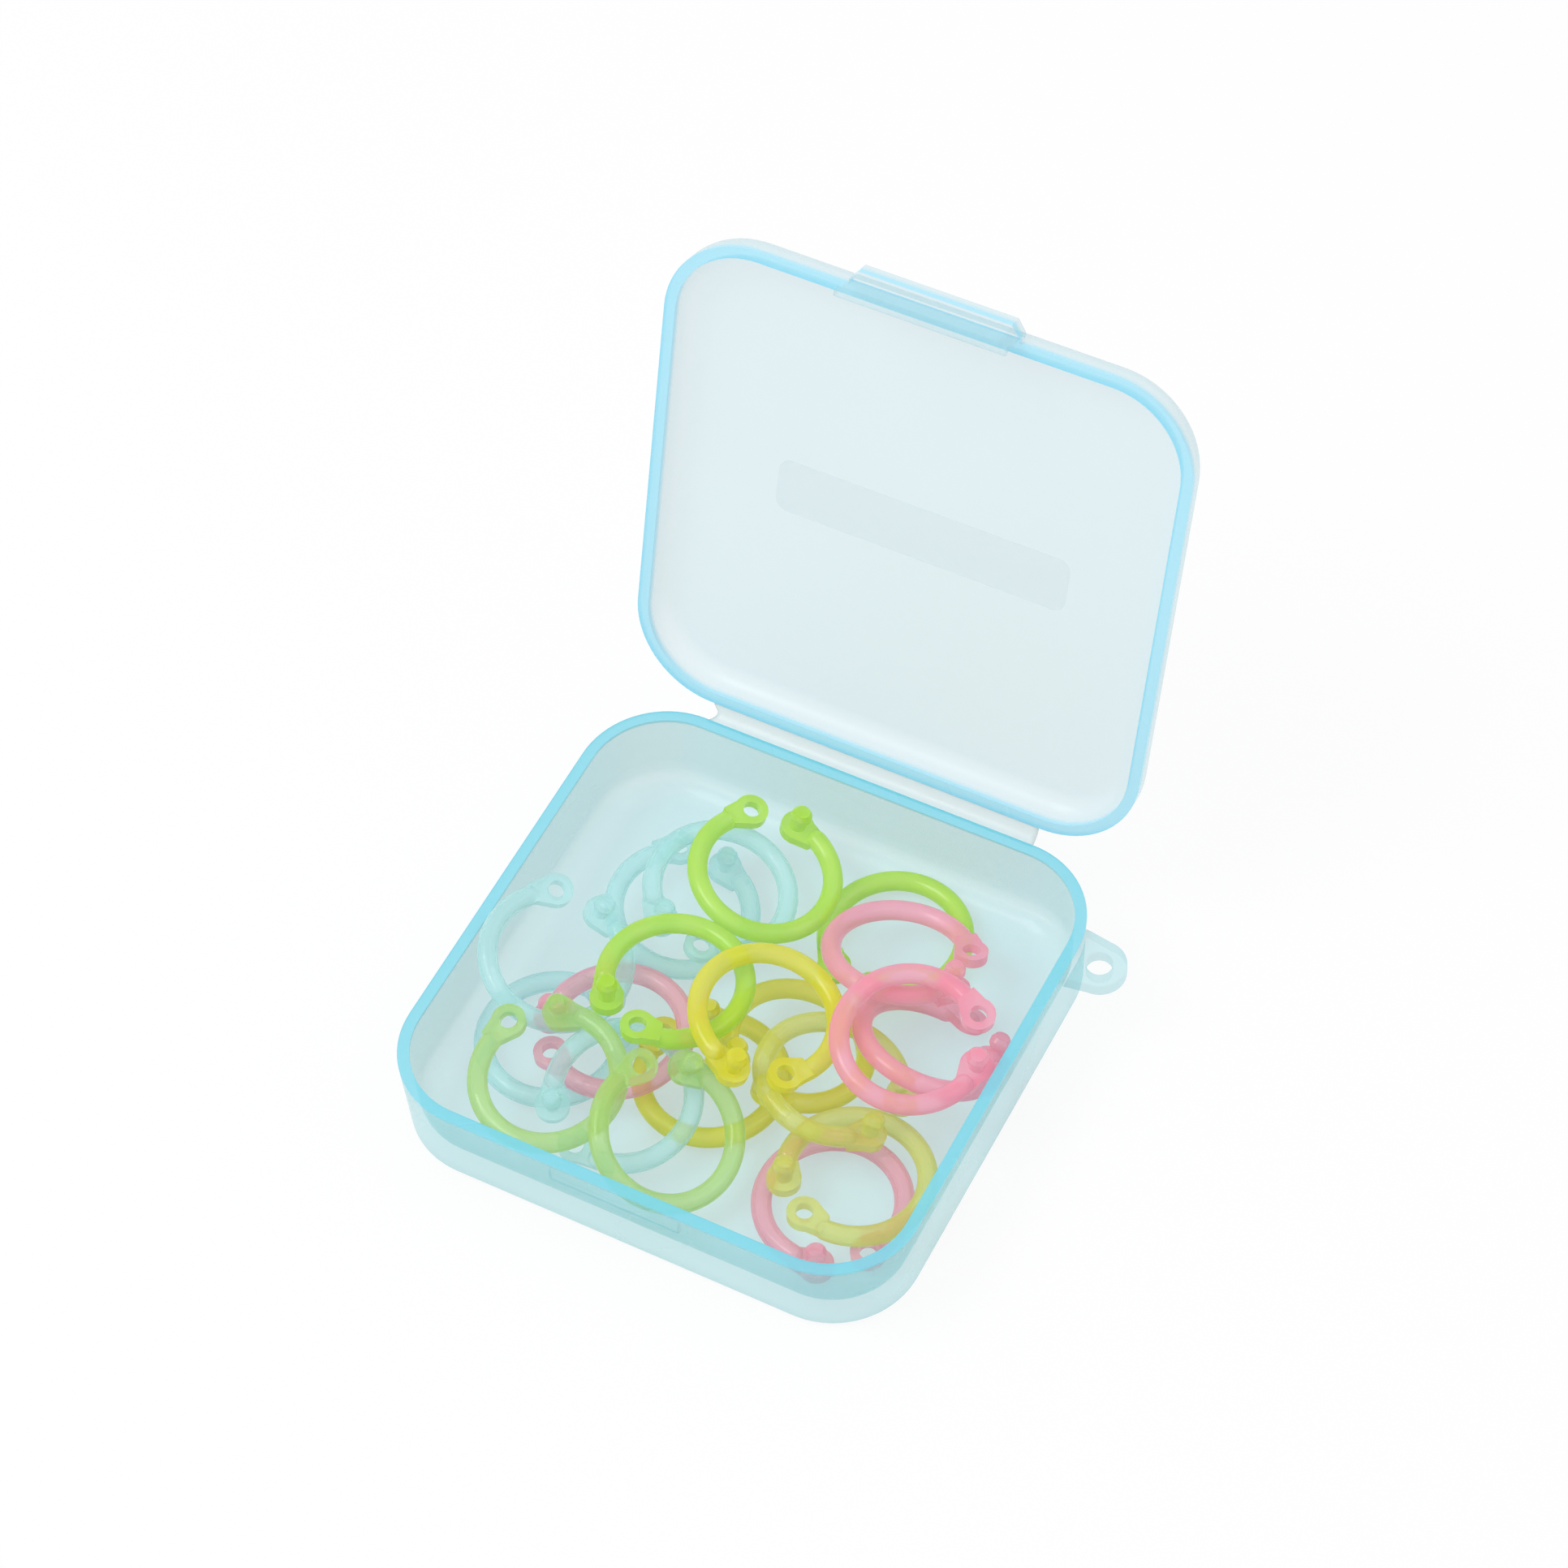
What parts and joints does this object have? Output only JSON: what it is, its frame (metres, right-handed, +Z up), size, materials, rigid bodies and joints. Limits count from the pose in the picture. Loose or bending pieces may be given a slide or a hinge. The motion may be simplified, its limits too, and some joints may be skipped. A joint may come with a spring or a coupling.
{
  "type": "stitch marker set in a hinged case",
  "caption": "Locking ring stitch markers with peg and eye ends, loose in a translucent flip-top case with living hinge, latch tab and hang loop.",
  "frame": {"origin": "centre of the flat underside of the case", "axes": "+X right, +Y towards the hinge, +Z up out of the open case"},
  "size_m": [0.0657, 0.0801, 0.0712],
  "materials": {
    "case": "translucent pale blue, smooth",
    "hinge": "thin, nearly clear",
    "marker_aqua": "translucent, smooth moulded",
    "marker_green": "translucent, smooth moulded",
    "marker_yellow": "translucent, smooth moulded",
    "marker_pink": "translucent, smooth moulded"
  },
  "bodies": {
    "case_base": {"case_base": "case", "hinge_base_leaf": "hinge"},
    "case_lid": {"case_lid": "case", "hinge_lid_leaf": "hinge"},
    "marker_aqua_1": {"marker_aqua_1": "marker_aqua"},
    "marker_aqua_2": {"marker_aqua_2": "marker_aqua"},
    "marker_aqua_3": {"marker_aqua_3": "marker_aqua"},
    "marker_aqua_4": {"marker_aqua_4": "marker_aqua"},
    "marker_aqua_5": {"marker_aqua_5": "marker_aqua"},
    "marker_green_1": {"marker_green_1": "marker_green"},
    "marker_green_2": {"marker_green_2": "marker_green"},
    "marker_green_3": {"marker_green_3": "marker_green"},
    "marker_green_4": {"marker_green_4": "marker_green"},
    "marker_green_5": {"marker_green_5": "marker_green"},
    "marker_yellow_1": {"marker_yellow_1": "marker_yellow"},
    "marker_yellow_2": {"marker_yellow_2": "marker_yellow"},
    "marker_yellow_3": {"marker_yellow_3": "marker_yellow"},
    "marker_yellow_4": {"marker_yellow_4": "marker_yellow"},
    "marker_yellow_5": {"marker_yellow_5": "marker_yellow"},
    "marker_pink_1": {"marker_pink_1": "marker_pink"},
    "marker_pink_2": {"marker_pink_2": "marker_pink"},
    "marker_pink_3": {"marker_pink_3": "marker_pink"},
    "marker_pink_4": {"marker_pink_4": "marker_pink"},
    "marker_pink_5": {"marker_pink_5": "marker_pink"}
  },
  "joints": [
    {"name": "lid_hinge", "type": "hinge", "parent": "case_base", "child": "case_lid", "pos_m": [0, 0.0302, 0.01148], "axis": [-1, 0, 0], "range_deg": [-107, 73]},
    {"name": "lift_aqua_1", "type": "slide", "parent": "marker_aqua_4", "child": "marker_aqua_1", "axis": [0, 0, 1], "range_m": [0, 0.014]},
    {"name": "lift_aqua_2", "type": "slide", "parent": "marker_aqua_3", "child": "marker_aqua_2", "axis": [0, 0, 1], "range_m": [0, 0.014]},
    {"name": "lift_aqua_3", "type": "slide", "parent": "marker_aqua_5", "child": "marker_aqua_3", "axis": [0, 0, 1], "range_m": [0, 0.014]},
    {"name": "lift_aqua_4", "type": "slide", "parent": "marker_pink_4", "child": "marker_aqua_4", "axis": [0, 0, 1], "range_m": [0, 0.014]},
    {"name": "lift_aqua_5", "type": "slide", "parent": "marker_yellow_5", "child": "marker_aqua_5", "axis": [0, 0, 1], "range_m": [0, 0.014]},
    {"name": "lift_green_1", "type": "slide", "parent": "marker_aqua_1", "child": "marker_green_1", "axis": [0, 0, 1], "range_m": [0, 0.014]},
    {"name": "lift_green_2", "type": "slide", "parent": "marker_green_1", "child": "marker_green_2", "axis": [0, 0, 1], "range_m": [0, 0.014]},
    {"name": "lift_green_3", "type": "slide", "parent": "marker_pink_1", "child": "marker_green_3", "axis": [0, 0, 1], "range_m": [0, 0.014]},
    {"name": "lift_green_4", "type": "slide", "parent": "marker_aqua_2", "child": "marker_green_4", "axis": [0, 0, 1], "range_m": [0, 0.014]},
    {"name": "lift_green_5", "type": "slide", "parent": "marker_yellow_2", "child": "marker_green_5", "axis": [0, 0, 1], "range_m": [0, 0.014]},
    {"name": "lift_yellow_1", "type": "slide", "parent": "marker_green_3", "child": "marker_yellow_1", "axis": [0, 0, 1], "range_m": [0, 0.014]},
    {"name": "lift_yellow_2", "type": "slide", "parent": "case_base", "child": "marker_yellow_2", "axis": [0, 0, 1], "range_m": [0, 0.014]},
    {"name": "lift_yellow_3", "type": "slide", "parent": "marker_yellow_4", "child": "marker_yellow_3", "axis": [0, 0, 1], "range_m": [0, 0.014]},
    {"name": "lift_yellow_4", "type": "slide", "parent": "marker_pink_5", "child": "marker_yellow_4", "axis": [0, 0, 1], "range_m": [0, 0.014]},
    {"name": "lift_yellow_5", "type": "slide", "parent": "marker_green_5", "child": "marker_yellow_5", "axis": [0, 0, 1], "range_m": [0, 0.014]},
    {"name": "lift_pink_1", "type": "slide", "parent": "marker_pink_3", "child": "marker_pink_1", "axis": [0, 0, 1], "range_m": [0, 0.014]},
    {"name": "lift_pink_2", "type": "slide", "parent": "marker_yellow_1", "child": "marker_pink_2", "axis": [0, 0, 1], "range_m": [0, 0.014]},
    {"name": "lift_pink_3", "type": "slide", "parent": "marker_yellow_3", "child": "marker_pink_3", "axis": [0, 0, 1], "range_m": [0, 0.014]},
    {"name": "lift_pink_4", "type": "slide", "parent": "marker_aqua_2", "child": "marker_pink_4", "axis": [0, 0, 1], "range_m": [0, 0.014]},
    {"name": "lift_pink_5", "type": "slide", "parent": "marker_green_2", "child": "marker_pink_5", "axis": [0, 0, 1], "range_m": [0, 0.014]}
  ]
}
